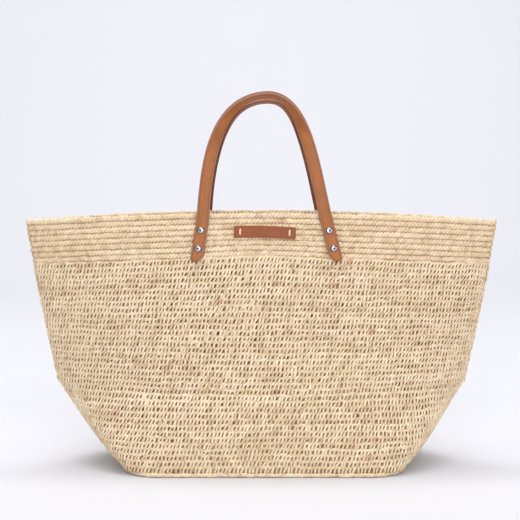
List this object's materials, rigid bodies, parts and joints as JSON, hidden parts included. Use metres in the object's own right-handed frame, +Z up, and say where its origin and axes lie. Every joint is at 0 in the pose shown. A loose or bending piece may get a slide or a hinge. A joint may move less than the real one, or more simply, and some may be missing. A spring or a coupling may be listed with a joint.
{
  "type": "woven market basket",
  "caption": "Crocheted raffia market tote with a flat rounded base, a wide pinched mouth, a dense rim band and riveted leather strap handles that fold down.",
  "frame": {"origin": "centre of the footprint, on the surface that the basket stands on", "axes": "+Z up, +X along the wide mouth, -Y towards the front with the label"},
  "size_m": [0.5996, 0.204, 0.4737],
  "materials": {
    "raffia": "crocheted natural raffia, dry satin strands",
    "leather": "smooth cognac leather, satin, painted edges",
    "rivet_metal": "polished domed caps",
    "thread": "waxed cotton thread"
  },
  "bodies": {
    "basket": {"raffia_base": "raffia", "base_edge_round": "raffia", "raffia_body": "raffia", "rim_band": "raffia", "front_left_strap_end": "leather", "front_right_strap_end": "leather", "back_left_strap_end": "leather", "back_right_strap_end": "leather", "front_left_backing": "leather", "front_right_backing": "leather", "back_left_backing": "leather", "back_right_backing": "leather", "front_left_upper_rivet": "rivet_metal", "front_left_lower_rivet": "rivet_metal", "front_right_upper_rivet": "rivet_metal", "front_right_lower_rivet": "rivet_metal", "back_left_upper_rivet": "rivet_metal", "back_left_lower_rivet": "rivet_metal", "back_right_upper_rivet": "rivet_metal", "back_right_lower_rivet": "rivet_metal", "front_left_upper_inner_cap": "rivet_metal", "front_left_lower_inner_cap": "rivet_metal", "front_right_upper_inner_cap": "rivet_metal", "front_right_lower_inner_cap": "rivet_metal", "back_left_upper_inner_cap": "rivet_metal", "back_left_lower_inner_cap": "rivet_metal", "back_right_upper_inner_cap": "rivet_metal", "back_right_lower_inner_cap": "rivet_metal", "label_patch": "leather", "label_stitch_left": "thread", "label_stitch_right": "thread"},
    "front_handle": {"front_strap_bow": "leather"},
    "back_handle": {"back_strap_bow": "leather"}
  },
  "joints": [
    {"name": "front_handle_fold", "type": "hinge", "parent": "basket", "child": "front_handle", "pos_m": [0, -0.04487, 0.31], "axis": [1, 0, 0], "range_deg": [0, 150]},
    {"name": "back_handle_fold", "type": "hinge", "parent": "basket", "child": "back_handle", "pos_m": [0, 0.04641, 0.303], "axis": [-1, 0, 0], "range_deg": [0, 150]}
  ]
}
